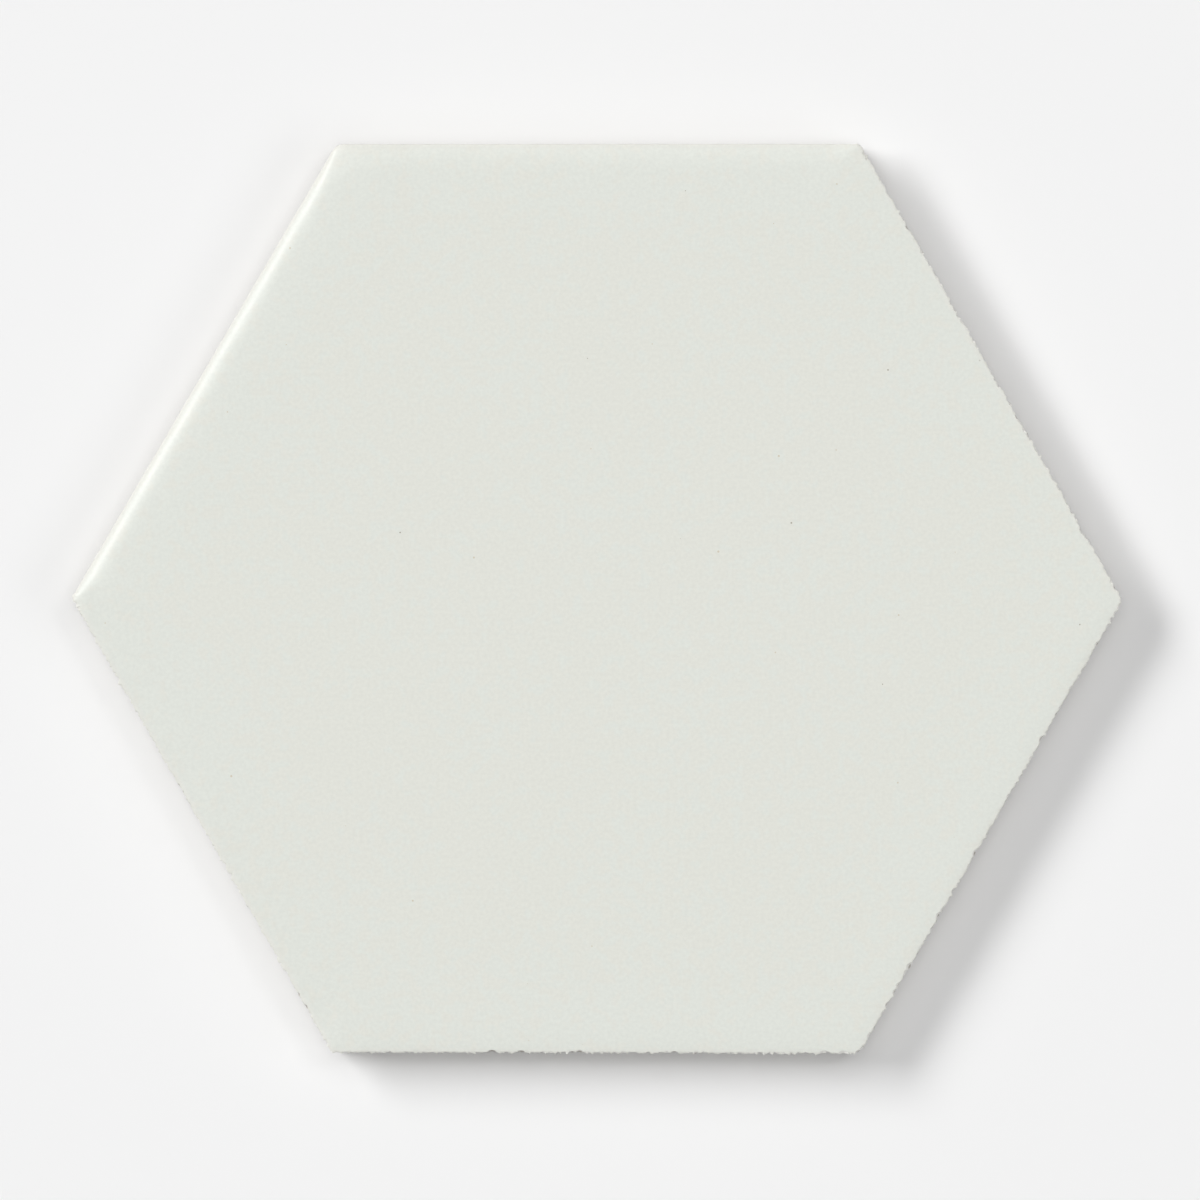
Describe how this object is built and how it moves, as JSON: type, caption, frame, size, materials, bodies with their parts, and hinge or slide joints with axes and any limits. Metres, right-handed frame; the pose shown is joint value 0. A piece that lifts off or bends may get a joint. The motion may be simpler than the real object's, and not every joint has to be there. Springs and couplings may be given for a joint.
{
  "type": "hexagon floor tile",
  "caption": "Flat six-sided ceramic floor tile with a pale green-white glazed face, soft shoulders on some sides, crisp arrises on the rest and a keyed back.",
  "frame": {"origin": "middle of the back, on the surface that the tile lies on", "axes": "+Z out of the glazed face; X through two opposite corners; +Y towards one of the two soft-shouldered sides, which is the top side of the picture"},
  "size_m": [0.1728, 0.15, 0.009],
  "materials": {
    "glazed_stoneware": "satin"
  },
  "bodies": {
    "root": {"hexagon_tile": "glazed_stoneware"}
  },
  "joints": []
}
